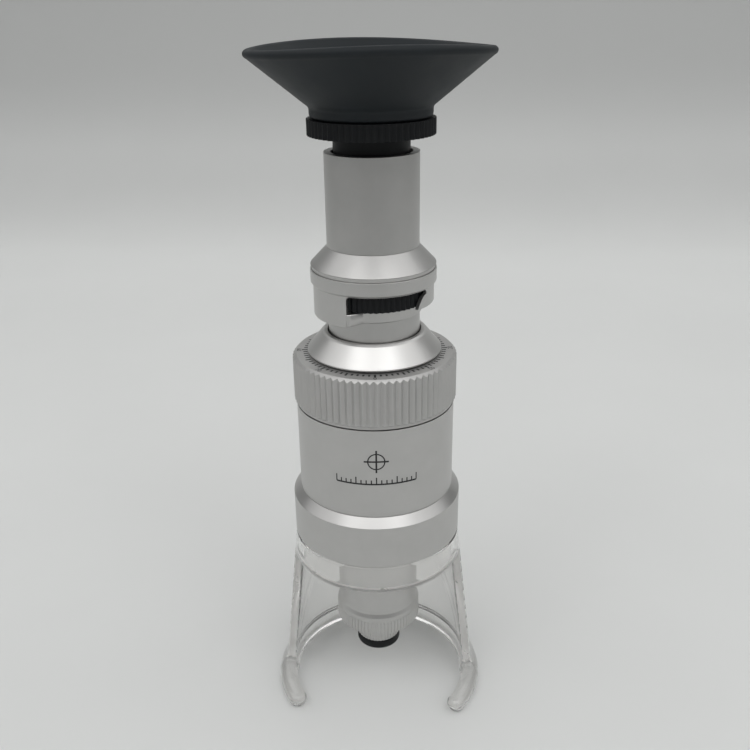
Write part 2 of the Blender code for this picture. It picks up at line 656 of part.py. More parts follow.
def make_housing_cap():
    edge_r, spigot_bottom = HOUSING_RIM_R - 0.3, HOUSING_WEB + HOUSING_WEB_THICK + FIT
    profile = [
        (EYE_TUBE_R, CAP_TOP),
        (HOUSING_RIM_R - 0.05, CAP_EDGE),
        (edge_r, CAP_EDGE - 0.15),
        (edge_r, HOUSING_TOP + FIT),
        (CAP_SPIGOT_R, HOUSING_TOP + FIT),
        (CAP_SPIGOT_R, spigot_bottom),
        (CAP_BORE, spigot_bottom),
        (CAP_BORE, CAP_TOP),
    ]
    cap = turned("housing_cap", profile, "satin_aluminium", FINE)
    drill(cap, "cap_hole", CAP_SCREW_R + 0.1, *cap_screw_span(0.6))


def cap_screw_span(beyond):
    """The two ends of the set screw's hole, square to the cap's cone, reaching this far out of it."""
    slope = Vector((HOUSING_RIM_R - EYE_TUBE_R, EYE_TUBE_R - HOUSING_RIM_R)).normalized()
    out = Vector((-slope.y, slope.x))
    surface = Vector(((HOUSING_RIM_R + EYE_TUBE_R) / 2 + 0.7, (CAP_TOP + CAP_EDGE) / 2 - 0.72))
    near, far = surface + out * beyond, surface - out * CAP_SCREW_LENGTH
    return polar(near.x, CAP_SCREW_ANGLE, near.y), polar(far.x, CAP_SCREW_ANGLE, far.y)


def make_cap_set_screw():
    near, far = (Vector(p) for p in cap_screw_span(-0.15))
    far = far + (near - far).normalized() * 0.15
    add_object("cap_set_screw", rod_mesh("cap_set_screw", CAP_SCREW_R, far, near, 12), "steel")


def make_eyepiece_tube():
    shoulder = CAP_TOP + 0.1
    profile = [
        (EYE_TUBE_R, EYE_TUBE_TOP),
        (EYE_TUBE_R, shoulder),
        (EYE_TUBE_SPIGOT_R, shoulder),
        (EYE_TUBE_SPIGOT_R, EYE_TUBE_BOTTOM),
        (EYE_TUBE_STOP_BORE, EYE_TUBE_BOTTOM),
        (EYE_TUBE_STOP_BORE, EYE_TUBE_STOP),
        (EYE_TUBE_BORE, EYE_TUBE_STOP + 0.5),
        (EYE_TUBE_BORE, EYE_TUBE_TOP),
    ]
    turned("eyepiece_tube", profile, "satin_aluminium", FINE)


# ---- reticle wheel ----------------------------------------------------------------------------


def make_reticle():
    seat = WHEEL_BOTTOM + GLASS_SEAT
    hole_r, pocket_r = PILOT_R + 0.2, GLASS_R + 0.2
    profile = [
        (WHEEL_R, WHEEL_TOP),
        (WHEEL_R, WHEEL_BOTTOM),
        (hole_r, WHEEL_BOTTOM),
        (hole_r, seat),
        (pocket_r, seat),
        (pocket_r, WHEEL_TOP),
    ]
    low, high = WHEEL_BOTTOM - 0.1, WHEEL_TOP + 0.1
    knurled("reticle_wheel", profile, "black_anodised", WHEEL_TEETH, WHEEL_TOOTH_DEPTH, low, high)
    glass_bottom, glass_top = seat + FIT, seat + FIT + GLASS_THICK
    glass = [(0, glass_top), (GLASS_R, glass_top), (GLASS_R, glass_bottom), (0, glass_bottom)]
    turned("reticle_glass", glass, "lens_glass", COARSE)
    stop = ring_profile(GLASS_R, GLASS_STOP_R, glass_top + FIT, WHEEL_TOP - FIT)
    turned("reticle_retainer", stop, "black_anodised", COARSE)


# ---- eyepiece ---------------------------------------------------------------------------------


def make_eyepiece_metal():
    low, high = SLEEVE_GROOVE
    profile = [
        (BARREL_R, BARREL_TOP),
        (BARREL_R, high),
        (SLEEVE_GROOVE_R, high),
        (SLEEVE_GROOVE_R, low),
        (BARREL_R, low),
        (BARREL_R, BARREL_BOTTOM),
        (BARREL_BORE, BARREL_BOTTOM),
        (BARREL_BORE, BARREL_TOP),
    ]
    turned("eyepiece_barrel", profile, "black_anodised")
    sleeve = ring_profile(FRICTION_R, FRICTION_BORE, low + RUN, high - RUN)
    turned("friction_sleeve", sleeve, "nylon")
    lip_z = BARREL_TOP + 0.3
    profile = [
        (EYE_RING_NECK_R, EYE_RING_NECK_TOP),
        (EYE_RING_NECK_R, EYE_RING_TOP),
        (EYE_RING_R, EYE_RING_TOP),
        (EYE_RING_R, EYE_RING_BOTTOM),
        (BARREL_R + FIT, EYE_RING_BOTTOM),
        (BARREL_R + FIT, lip_z),
        (BARREL_BORE, lip_z),
        (BARREL_BORE + EYE_RING_MOUTH, EYE_RING_NECK_TOP),
    ]
    teeth, depth = EYE_RING_TEETH, EYE_RING_TOOTH_DEPTH
    low, high = EYE_RING_BOTTOM - 0.1, EYE_RING_TOP + 0.1
    knurled("eyepiece_ring", profile, "black_anodised", teeth, depth, low, high)


def make_eyepiece_optics():
    r, black = EYE_LENS_R, "black_anodised"
    turned("field_lens_retainer", ring_profile(r, EYE_STOP_R, *FIELD_RETAINER), black, COARSE)
    turned("field_lens", lens_profile(r, *FIELD_LENS, 0.3, 0.9), "lens_glass", COARSE)
    turned("lens_spacer", ring_profile(r, EYE_SPACER_BORE, *LENS_SPACER), black, COARSE)
    turned("eye_lens", lens_profile(r, *EYE_LENS, 0.9, 0.5), "lens_glass", COARSE)
    turned("eye_lens_retainer", ring_profile(r, EYE_STOP_R, *EYE_RETAINER), black, COARSE)


def make_rubber_eyecup():
    """A wide soft cone with a rolled bead round its rim, gripping the eyepiece ring's neck."""
    base = Vector((CUP_NECK_R, CUP_NECK_TOP))
    rim = Vector((CUP_RIM_R + 0.1, CUP_RIM_Z - CUP_BEAD_R))
    inward = (rim - base).orthogonal().normalized()
    if inward.x > 0:
        inward = -inward
    lip_bottom = EYE_RING_NECK_TOP + 0.3
    floor_z = lip_bottom + CUP_LIP_THICK
    along = (rim - base).normalized()
    inner_start = base + inward * CUP_THICK
    inner_at_floor = inner_start + along * ((floor_z - inner_start.y) / along.y)
    bead = []
    for step in range(6):
        angle = radians(-75 + 42 * step)
        bead.append((CUP_RIM_R + CUP_BEAD_R * cos(angle), CUP_RIM_Z + CUP_BEAD_R * sin(angle)))
    profile = bead[::-1] + [
        tuple(base),
        (CUP_NECK_R, CUP_BOTTOM),
        (EYE_RING_NECK_R + 0.2, CUP_BOTTOM),
        (EYE_RING_NECK_R + 0.2, lip_bottom),
        (CUP_LIP_R, lip_bottom),
        (CUP_LIP_R, floor_z),
        tuple(inner_at_floor),
    ]
    turned("rubber_eyecup", profile, "black_rubber", FINE)


# ---- joints' axes -----------------------------------------------------------------------------


def parent_groups():
    """Hangs each moving group on an empty that lies on its joint's axis, which is Z for all of them."""
    for empty_name, children in GROUPS.items():
        empty = bpy.data.objects.new(empty_name, None)
        empty.empty_display_size = 5 * MM
        bpy.data.collections[PARTS].objects.link(empty)
        for child in children:
            bpy.data.objects[child].parent = empty
    carrier = bpy.data.objects["axis_optical_tube"]
    for empty_name in ("axis_reticle_wheel", "axis_eyepiece"):
        bpy.data.objects[empty_name].parent = carrier


def main():
    clear_scene()
    make_collection(PARTS)
    make_collection(CUTTERS)
    make_clear_stand()
    make_base_collar()
    make_body_sleeve()
    make_guide_tube()
    make_cone_collar()
    make_wave_washer()
    make_focus_ring()
    make_focus_nut()
    make_nut_screws()
    make_main_tube()
    make_focus_key()
    make_nose_barrel()
    make_nose_ring()
    make_objective_mount()
    make_objective_optics()
    make_reticle_housing()
    make_housing_screws()
    make_housing_cap()
    make_cap_set_screw()
    make_eyepiece_tube()
    make_reticle()
    make_eyepiece_metal()
    make_eyepiece_optics()
    make_rubber_eyecup()
    parent_groups()


main()
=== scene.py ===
"""Stand microscope loupe on a pale sweep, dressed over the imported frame.

Almost every piece is turned about the world Z axis. A turned piece takes its half-section from its CAD
node and is spun again with rounded corners and many sides. Lengths named here are in millimetres, and
MM turns them into metres. Angles are in degrees round Z, counted from the front (-Y) towards +X.
"""

import json
from math import atan2, cos, pi, radians, sin, tan

import bmesh
import bpy
import numpy as np
from mathutils import Matrix, Vector


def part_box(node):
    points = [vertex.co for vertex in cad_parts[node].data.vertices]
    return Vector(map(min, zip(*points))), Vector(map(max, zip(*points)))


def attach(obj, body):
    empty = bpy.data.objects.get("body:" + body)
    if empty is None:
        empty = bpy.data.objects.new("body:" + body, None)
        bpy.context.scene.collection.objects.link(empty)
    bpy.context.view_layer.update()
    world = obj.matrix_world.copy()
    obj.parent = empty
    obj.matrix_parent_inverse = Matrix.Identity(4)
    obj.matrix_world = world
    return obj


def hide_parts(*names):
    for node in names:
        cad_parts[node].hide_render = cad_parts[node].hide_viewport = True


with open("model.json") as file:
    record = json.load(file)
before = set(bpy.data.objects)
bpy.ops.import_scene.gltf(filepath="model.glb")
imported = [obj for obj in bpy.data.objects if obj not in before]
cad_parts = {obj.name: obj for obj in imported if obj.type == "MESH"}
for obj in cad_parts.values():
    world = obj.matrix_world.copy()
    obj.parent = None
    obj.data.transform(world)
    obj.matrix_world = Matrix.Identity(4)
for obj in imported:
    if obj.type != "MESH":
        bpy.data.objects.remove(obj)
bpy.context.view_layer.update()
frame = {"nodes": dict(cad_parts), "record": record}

MM = 0.001
NEAR = 0.01  # lengths in millimetres that differ by less than this count as one
RECORD = frame["record"]
BODY_OF = {node: body for body, nodes in RECORD["behaviour"]["bodies"].items() for node in nodes}
SLOT_OF = {part["node"]: part["material_slot"] for part in RECORD["subparts"]}

# Pieces in another material than the rest of their slot: the two tubes in a darker copy, which is painted
# shade; the cone collar in a lighter copy, which is a painted highlight; the focus ring in a darker, partly
# diffuse finish
SHADE_AND_FINISH_OF = {
    "main_tube": "tube_aluminium_painted_shade",
    "eyepiece_tube": "tube_aluminium_painted_shade",
    "cone_collar": "cone_aluminium_painted_highlight",
    "focus_ring": "ring_aluminium",
}

# Camera
LENS = 41.0
SENSOR = 36.0
CAMERA_REACH, CAMERA_HEIGHT = 158.0, 143.0  # from the tube's axis, and from the floor
CAMERA_TURN, CAMERA_TILT, CAMERA_ROLL = 3.5, 66.82, -0.84

# Clear stand
FOOT_MID_R, FOOT_HALF_WIDTH, FOOT_HALF_HEIGHT, FOOT_RISE = 21.05, 2.0, 1.75, 1.5
FOOT_OPENING = 51.5
WALL_TOP_Z, WALL_TOP_R, WALL_SLOPE, WALL_THICK, WALL_FOOT_Z = 40.95, 17.33, 0.108, 1.9, 2.0
WINDOW_TOP, WINDOW_BACK_Y, WINDOW_ROUND = 35.4, -1.3, 1.5
NECK_R, NECK_BORE_R, NECK_TOP_Z = 15.9, 14.4, 46.5
FOOT_BLEND, EDGE_BLEND = 2.2, 0.5
NET_STEP_R, NET_STEP_Z, NET_TURNS = 0.3, 0.35, 320
FOOT_TOP, EDGE_STRIP = 4.0, 0.2  # the cut edges, whitened as painted light for the light they reflect and carry: where they start, and how far they reach round

# Turned pieces. Some faces move from (height in the CAD) to (height here), which closes a hairline gap.
SIDES = 192
CLOSED_FITS = {
    "body_sleeve": (52.0, 51.93),
    "housing_cap": (98.25, 98.12),
    "eyepiece_tube": (102.4, 102.32),
    "nose_ring": (20.45, 20.59),
    "rubber_eyecup": (125.65, 125.43),
}

# Teeth: how many and how deep. TOOTH_FLAT is half of a tooth's tip as a share of the pitch, and
# TOOTH_PROFILE holds a tooth's corners as (share of the pitch, share of the depth).
RING_TEETH, RING_TOOTH_DEPTH = 72, 0.42
EYE_TEETH, EYE_TOOTH_DEPTH = 60, 0.30
WHEEL_TEETH, WHEEL_TOOTH_DEPTH = 60, 0.30
NOSE_TEETH, NOSE_TOOTH_DEPTH = 72, 0.20
CELL_TEETH, CELL_TOOTH_DEPTH = 40, 0.16
TOOTH_FLAT = 0.05
TOOTH_PROFILE = ((TOOTH_FLAT, 0), (0.5 - TOOTH_FLAT, 1), (0.5 + TOOTH_FLAT, 1), (1 - TOOTH_FLAT, 0))

# Reticle housing's window
WINDOW_START, WINDOW_END = -22.5, 61.0
WINDOW_RIM, WINDOW_STEPS = 95.2, 90
CORNER_TURN, CORNER_DROP = 3.0, 0.6  # the window's rounded upper corners
LEAN_TURN, LEAN_FOOT, LEAN_BEND = 13.0, 91.75, 2.2  # the right side's lean: degrees, height of its foot
LEAN_GAP = 0.3  # how far below the rim the lean ends
LEFT_CURVE, LEFT_RISE = 4.0, 0.2  # the wall's lower corner left of the window: degrees, and height
SHORT_WALL_END, WALL_CUT_STEPS = 122.0, 60
HOUSING_WALL_R = 11.6
WALL_FOOT_TURN, WALL_FOOT_INNER_R, WALL_FOOT_BEVEL, WALL_FOOT_STEPS = 17.0, 9.2, 0.1, 24

# Sill of the main tube, under the wheel
SILL_FRONT, SILL_FRONT_R, SILL_BOTTOM, SILL_STEPS = (-38, 126), 9.3, 89.75, 40
GROOVE_DEPTH, GROOVE_HEIGHT = 0.25, 0.16

# Nose barrel's lower end, as steps (outwards, upwards) from its corner
NOSE_FLARE = ((0.0, 2.9), (0.12, 2.0), (0.42, 1.2), (0.5, 0.7), (0.5, 0.0))

# Dial
DIAL_DIVISIONS, DIAL_NUMBER_EVERY = 80, 10
DIAL_START = 3.5
TICK_WIDTH, TICK_START, TICK_LONG, TICK_SHORT, TICK_LONG_EVERY = 0.40, 13.3, 1.15, 0.8, 5
NUMERAL_R, NUMERAL_SIZE = 15.45, 1.35
INK_RISE = 0.012

# Sign on the sleeve
MARK_RING_Z, MARK_BAR_Z = 64.2, 59.3
MARK_LINE = 0.17  # half of a line's width
MARK_RING_OUTER, MARK_RING_INNER, MARK_CROSS = 1.75, 1.5, 2.4
MARK_BAR = 8  # half of the bar's length, with a tick at each millimetre
MARK_TICK_LINE, MARK_TICK_LONG, MARK_TICK_SHORT, MARK_LONG_EVERY = 0.7, 1.5, 0.9, 4

# Paper sweep's painted light and shade: how light it is at these distances behind the tube's axis, in
# metres
PAINTED_PAPER_SHADE = ((-0.40, 0.84), (-0.10, 0.92), (0.22, 0.94), (0.36, 0.99), (0.50, 0.75), (0.56, 0.60))

# Eyecup
CUP_WARP, CUP_ROUND, CUP_SIDES = 0.55, 0.9, 256
CUP_NECK_TOP = 127.3


# ---- materials --------------------------------------------------------------------------------


def add_node(tree, kind, **inputs):
    node = tree.nodes.new(kind)
    for name, value in inputs.items():
        node.inputs[name.replace("_", " ")].default_value = value
    return node


def noise(tree, place, scale, detail=3.0):
    """Noise whose features are about 1 / scale metres across."""
    node = add_node(tree, "ShaderNodeTexNoise", Scale=scale, Detail=detail, Roughness=0.55)
    tree.links.new(place, node.inputs["Vector"])
    return node.outputs["Fac"]


def blend_of(tree, factor, low, high):
    """Goes from low to high, two numbers or two colours, as the factor goes over its middle range."""
    if isinstance(low, tuple):
        ramp = tree.nodes.new("ShaderNodeValToRGB")
        ramp.color_ramp.elements[0].position = 0.3
        ramp.color_ramp.elements[0].color = (*low, 1)
        ramp.color_ramp.elements[1].position = 0.7
        ramp.color_ramp.elements[1].color = (*high, 1)
        tree.links.new(factor, ramp.inputs["Fac"])
        return ramp.outputs["Color"]
    spread = add_node(tree, "ShaderNodeMapRange", From_Min=0.3, From_Max=0.7, To_Min=low, To_Max=high)
    tree.links.new(factor, spread.inputs["Value"])
    return spread.outputs["Result"]


def finish_material(name, colors, roughness, patch, grain, bump, **uniform):
    """A surface whose colour and roughness drift over patches, with a fine grain in its bump.

    patch and grain are the sizes of the drift and the grain in millimetres, and bump is the grain's height.
    """
    material = bpy.data.materials.new(name)
    material.use_nodes = True
    tree = material.node_tree
    shader = tree.nodes["Principled BSDF"]
    for socket, value in uniform.items():
        shader.inputs[socket.replace("_", " ")].default_value = value
    place = tree.nodes.new("ShaderNodeTexCoord").outputs["Object"]
    drift = noise(tree, place, 1 / (patch * MM), 4.0)
    fine = noise(tree, place, 1 / (grain * MM), 2.0)
    tree.links.new(blend_of(tree, drift, *colors), shader.inputs["Base Color"])
    tree.links.new(blend_of(tree, drift, *roughness), shader.inputs["Roughness"])
    relief = add_node(tree, "ShaderNodeBump", Strength=1.0, Distance=bump * MM)
    tree.links.new(fine, relief.inputs["Height"])
    tree.links.new(relief.outputs["Normal"], shader.inputs["Normal"])
    return material


MATERIALS = {
    "satin_aluminium": finish_material(
        "satin_aluminium", ((0.50, 0.496, 0.487), (0.54, 0.535, 0.526)), (0.34, 0.41), 6.0, 0.16, 0.004,
        Metallic=1.0,
    ),
    # Darker copy of the satin aluminium for the tubes: painted shade
    "tube_aluminium_painted_shade": finish_material(
        "tube_aluminium_painted_shade", ((0.44, 0.437, 0.429), (0.48, 0.475, 0.466)), (0.33, 0.40), 6.0, 0.16, 0.004,
        Metallic=1.0,
    ),
    # Lighter copy of the satin aluminium for the cone collar: a painted highlight
    "cone_aluminium_painted_highlight": finish_material(
        "cone_aluminium_painted_highlight", ((0.61, 0.605, 0.594), (0.65, 0.645, 0.633)), (0.36, 0.43), 6.0, 0.16, 0.004,
        Metallic=1.0,
    ),
    "ring_aluminium": finish_material(
        "ring_aluminium", ((0.44, 0.437, 0.429), (0.48, 0.475, 0.466)), (0.36, 0.43), 6.0, 0.16, 0.004,
        Metallic=0.6,
    ),
    "inner_aluminium": finish_material(
        "inner_aluminium", ((0.36, 0.36, 0.36), (0.42, 0.42, 0.42)), (0.40, 0.50), 4.0, 0.2, 0.004,
        Metallic=1.0,
    ),
    "black_anodised": finish_material(
        "black_anodised", ((0.003, 0.004, 0.005), (0.006, 0.007, 0.008)), (0.45, 0.55), 3.0, 0.12, 0.004,
        Specular_IOR_Level=0.25,
    ),
    "black_rubber": finish_material(
        "black_rubber", ((0.009, 0.012, 0.014), (0.013, 0.017, 0.020)), (0.55, 0.68), 7.0, 0.22, 0.010,
        Specular_IOR_Level=0.3,
    ),
    "brass": finish_material(
        "brass", ((0.62, 0.46, 0.20), (0.70, 0.53, 0.26)), (0.28, 0.38), 4.0, 0.2, 0.003, Metallic=1.0
    ),
    "steel": finish_material(
        "steel", ((0.40, 0.40, 0.42), (0.50, 0.50, 0.52)), (0.25, 0.35), 2.0, 0.1, 0.002, Metallic=1.0
    ),
    "nylon": finish_material(
        "nylon", ((0.70, 0.69, 0.64), (0.76, 0.75, 0.70)), (0.45, 0.55), 4.0, 0.2, 0.004
    ),
    "clear_acrylic": finish_material(
        "clear_acrylic", ((0.94, 0.935, 0.925), (0.97, 0.965, 0.955)), (0.02, 0.06), 9.0, 3.0, 0.002,
        Transmission_Weight=0.95, IOR=1.24, Coat_Weight=1.0, Coat_Roughness=0.04, Coat_IOR=1.55,
    ),
    # A whitened, partly diffuse copy of the clear acrylic for the cut edges: painted light, standing in for
    # the light they reflect and carry inside
    "acrylic_edge_painted_glow": finish_material(
        "acrylic_edge_painted_glow", ((0.93, 0.915, 0.89), (0.97, 0.96, 0.94)), (0.25, 0.40), 4.0, 0.3, 0.004,
        Transmission_Weight=0.5, IOR=1.24,
    ),
    "lens_glass": finish_material(
        "lens_glass", ((0.90, 0.94, 0.96), (0.95, 0.97, 0.98)), (0.0, 0.02), 6.0, 2.0, 0.0002,
        Transmission_Weight=1.0, IOR=1.52, Coat_Weight=1.0, Coat_Roughness=0.02, Coat_IOR=1.7,
        Coat_Tint=(0.88, 0.85, 1.0, 1.0),
    ),
    "dial_ink": finish_material(
        "dial_ink", ((0.010, 0.010, 0.011), (0.018, 0.018, 0.019)), (0.45, 0.60), 1.0, 0.08, 0.003
    ),
}


# ---- turned pieces ----------------------------------------------------------------------------


def section_of(node, side=1):
    """The half-section of a turned CAD node, as (radius, height) points, and whether it is closed.

    It is read where the node meets the plane through the axis and +X, or -X where side is -1.
    """
    mesh = frame["nodes"][node].data
    near = 1e-6
    on_plane = {v.index for v in mesh.vertices if abs(v.co.y) < near and v.co.x * side > -near}
    point = {i: (abs(mesh.vertices[i].co.x) / MM, mesh.vertices[i].co.z / MM) for i in on_plane}
    keys = {i: (round(point[i][0], 3), round(point[i][1], 3)) for i in on_plane}
    links = {key: set() for key in keys.values()}
    for edge in mesh.edges:
        a, b = edge.vertices
        if a in on_plane and b in on_plane and keys[a] != keys[b]:
            links[keys[a]].add(keys[b])
            links[keys[b]].add(keys[a])
    # A flat ring's triangles may leave its two rims unjoined on this plane.
    loose = [key for key, ends in links.items() if len(ends) < 2 and key[0] > NEAR]
    for key in loose:
        level = [other for other in loose if other != key and abs(other[1] - key[1]) < 0.002]
        links[key].update(level)
    ends = [key for key in links if len(links[key]) == 1]
    start = max(ends or links, key=lambda key: (key[1], key[0]))
    walk, last = [start], None
    while True:
        onward = [key for key in sorted(links[walk[-1]]) if key != last and key not in walk[1:]]
        if not onward or onward[0] == start:
            break
        last = walk[-1]
        walk.append(onward[0])
    return walk, not ends


def fitted_section(node, side=1):
    """The half-section, with its fit to the next piece closed."""
    points, closed = section_of(node, side)
    if node in CLOSED_FITS:
        level, new_level = CLOSED_FITS[node]
        points = [(r, new_level if abs(z - level) < NEAR else z) for r, z in points]
    return points, closed


def rounded(points, closed, radius, steps=4):
    """The outline with each corner rounded by about this radius."""
    result = []
    count = len(points)
    for i, corner in enumerate(points):
        corner = Vector(corner)
        if not closed and i in (0, count - 1):
            result.append(tuple(corner))
            continue
        back, ahead = Vector(points[i - 1]) - corner, Vector(points[(i + 1) % count]) - corner
        turn = pi - back.angle(ahead)
        if turn < radians(2):
            result.append(tuple(corner))
            continue
        reach = min(radius * tan(turn / 2), 0.48 * back.length, 0.48 * ahead.length)
        start, end = corner + back.normalized() * reach, corner + ahead.normalized() * reach
        for step in range(steps + 1):
            t = step / steps
            result.append(tuple(start * (1 - t) ** 2 + corner * 2 * t * (1 - t) + end * t**2))
    return result


def within(points, limit):
    """The outline cut back to this radius. A point outside it slides along its edge to the crossing."""
    result = []
    for i, (r, z) in enumerate(points):
        if r > limit:
            for near_r, near_z in (points[i - 1], points[(i + 1) % len(points)]):
                if near_r < limit:
                    z += (near_z - z) * (r - limit) / (r - near_r)
                    break
            r = limit
        result.append((r, z))
    return result


def spun(name, columns, angles, closed):
    """A mesh through one outline for each angle, all with the same number of points."""
    rows = len(columns[0])
    points = [
        (r * cos(a) * MM, r * sin(a) * MM, z * MM) for column, a in zip(columns, angles) for r, z in column
    ]
    faces = []
    for i in range(len(angles)):
        j = (i + 1) % len(angles)
        for k in range(rows if closed else rows - 1):
            n = (k + 1) % rows
            faces.append((i * rows + k, i * rows + n, j * rows + n, j * rows + k))
    return tidy_mesh(name, points, faces)


def spun_evenly(name, outline, sides, closed):
    """A mesh of one outline turned about the axis."""
    return spun(name, [outline] * sides, [2 * pi * i / sides for i in range(sides)], closed)


def tidy_mesh(name, points, faces):
    mesh = bpy.data.meshes.new(name)
    mesh.from_pydata(points, [], faces)
    shape = bmesh.new()
    shape.from_mesh(mesh)
    bmesh.ops.remove_doubles(shape, verts=shape.verts, dist=1e-7)
    bmesh.ops.recalc_face_normals(shape, faces=shape.faces)
    shape.to_mesh(mesh)
    shape.free()
    return mesh


def look_of(node):
    return MATERIALS[SHADE_AND_FINISH_OF.get(node, SLOT_OF[node])]


def dress(name, mesh, node, material=None, replaces=True, sharp=38):
    """Makes the mesh an object that rides on the node's body, and stands for the node if it replaces it."""
    mesh.materials.clear()
    mesh.materials.append(material or look_of(node))
    mesh.shade_smooth()
    mesh.set_sharp_from_angle(angle=radians(sharp))
    obj = bpy.data.objects.new(name, mesh)
    bpy.context.scene.collection.objects.link(obj)
    even = obj.modifiers.new("EvenNormals", "WEIGHTED_NORMAL")
    even.keep_sharp = True
    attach(obj, BODY_OF[node])
    if replaces:
        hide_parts(node)
    return obj


def turned_mesh(node, radius=0.12, sides=SIDES, side=1):
    points, closed = fitted_section(node, side)
    return spun_evenly(node + "_fine", rounded(points, closed, radius), sides, closed)


def turned(node, radius=0.12, sides=SIDES):
    return dress(node + "_fine", turned_mesh(node, radius, sides), node)


def toothed(node, teeth, depth, radius=0.08):
    """A turned piece with straight teeth round its widest stretch."""
    points, closed = fitted_section(node)
    outline = rounded(points, closed, radius, 3)
    widest = max(r for r, z in points)
    columns, angles = [], []
    for tooth in range(teeth):
        for phase, share in TOOTH_PROFILE:
            angles.append(2 * pi * (tooth + phase) / teeth)
            columns.append(within(outline, widest - depth * share))
    return dress(node + "_fine", spun(node + "_fine", columns, angles, closed), node)


def cut(mesh, cutter_mesh):
    """The mesh with the cutter's shape taken out of it."""
    shape = bpy.data.objects.new("shape", mesh)
    cutter = bpy.data.objects.new("cutter", cutter_mesh)
    for obj in (shape, cutter):
        bpy.context.scene.collection.objects.link(obj)
    modifier = shape.modifiers.new("Cut", "BOOLEAN")
    modifier.object = cutter
    modifier.solver = "EXACT"
    bpy.context.view_layer.update()
    graph = bpy.context.evaluated_depsgraph_get()
    result = bpy.data.meshes.new_from_object(shape.evaluated_get(graph), depsgraph=graph)
    for obj in (shape, cutter):
        bpy.data.objects.remove(obj, do_unlink=True)
    return result


def swept_sector(name, sections):
    """A closed shape through sections of (angle, outline), all with the same number of points."""
    rows = len(sections[0][1])
    last = (len(sections) - 1) * rows
    points, faces = [], []
    for turn, outline in sections:
        angle = radians(turn - 90)
        points += [(r * cos(angle) * MM, r * sin(angle) * MM, z * MM) for r, z in outline]
    for start in range(0, last, rows):
        for k in range(rows):
            n = (k + 1) % rows
            faces.append((start + k, start + n, start + rows + n, start + rows + k))
    faces += [tuple(range(rows)), tuple(range(last, last + rows))]
    return tidy_mesh(name, points, faces)


def sector_block(inner, outer, columns):
    """A block over an arc of a ring, through columns of (angle, bottom, top)."""
    sections = [
        (turn, ((inner, bottom), (outer, bottom), (outer, top), (inner, top)))
        for turn, bottom, top in columns
    ]
    return swept_sector("block", sections)


# ---- clear stand ------------------------------------------------------------------------------


def soft_min(a, b, blend):
    reach = np.maximum(blend - np.abs(a - b), 0) / blend
    return np.minimum(a, b) - reach**2 * blend / 4


def soft_max(a, b, blend):
    return -soft_min(-a, -b, blend)


def window_distance(y, z):
    """How far each point is from the stand's open front, in millimetres."""
    over_y, over_z = y - WINDOW_BACK_Y + WINDOW_ROUND, z - WINDOW_TOP + WINDOW_ROUND
    corner = np.hypot(np.maximum(over_y, 0), np.maximum(over_z, 0)) - WINDOW_ROUND
    return corner + np.minimum(np.maximum(over_y, over_z), 0)


def stand_distance(x, y, z):
    """About how far each point is from the stand's surface, in millimetres, and negative inside it."""
    r = np.hypot(x, y)
    front_turn = np.abs(np.arctan2(x, -y))
    first = radians(FOOT_OPENING) + FOOT_HALF_WIDTH / FOOT_MID_R
    beyond = np.maximum(first - front_turn, 0) * FOOT_MID_R
    across = (r - FOOT_MID_R) / FOOT_HALF_WIDTH
    foot = np.sqrt(across**2 + ((z - FOOT_RISE) / FOOT_HALF_HEIGHT) ** 2 + (beyond / FOOT_HALF_WIDTH) ** 2)
    foot = (foot - 1) * FOOT_HALF_HEIGHT

    middle = WALL_TOP_R + WALL_SLOPE * (WALL_TOP_Z - z) - WALL_THICK / 2
    wall = np.abs(r - middle) - WALL_THICK / 2
    wall = soft_max(wall, z - WALL_TOP_Z, EDGE_BLEND)
    wall = soft_max(wall, WALL_FOOT_Z - z, EDGE_BLEND)
    wall = soft_max(wall, -window_distance(y, z), EDGE_BLEND)

    neck = np.abs(r - (NECK_R + NECK_BORE_R) / 2) - (NECK_R - NECK_BORE_R) / 2
    neck = soft_max(neck, z - NECK_TOP_Z, EDGE_BLEND)
    neck = soft_max(neck, WALL_TOP_Z - 1 - z, EDGE_BLEND)
    shape = soft_min(soft_min(wall, neck, EDGE_BLEND), foot, FOOT_BLEND)
    return soft_max(shape, -z, EDGE_BLEND)


def settle(points, distance, rounds=4):
    """Moves each point along the slope of the distance until it lies on the surface."""
    step = 0.01
    for _ in range(rounds):
        value = distance(*points.T)
        slope = np.stack(
            [
                (distance(*(points + step * axis).T) - distance(*(points - step * axis).T)) / (2 * step)
                for axis in np.eye(3)
            ],
            axis=1,
        )
        length = np.maximum((slope**2).sum(axis=1), 0.05)
        points = points - slope * (value / length)[:, None]
    return points


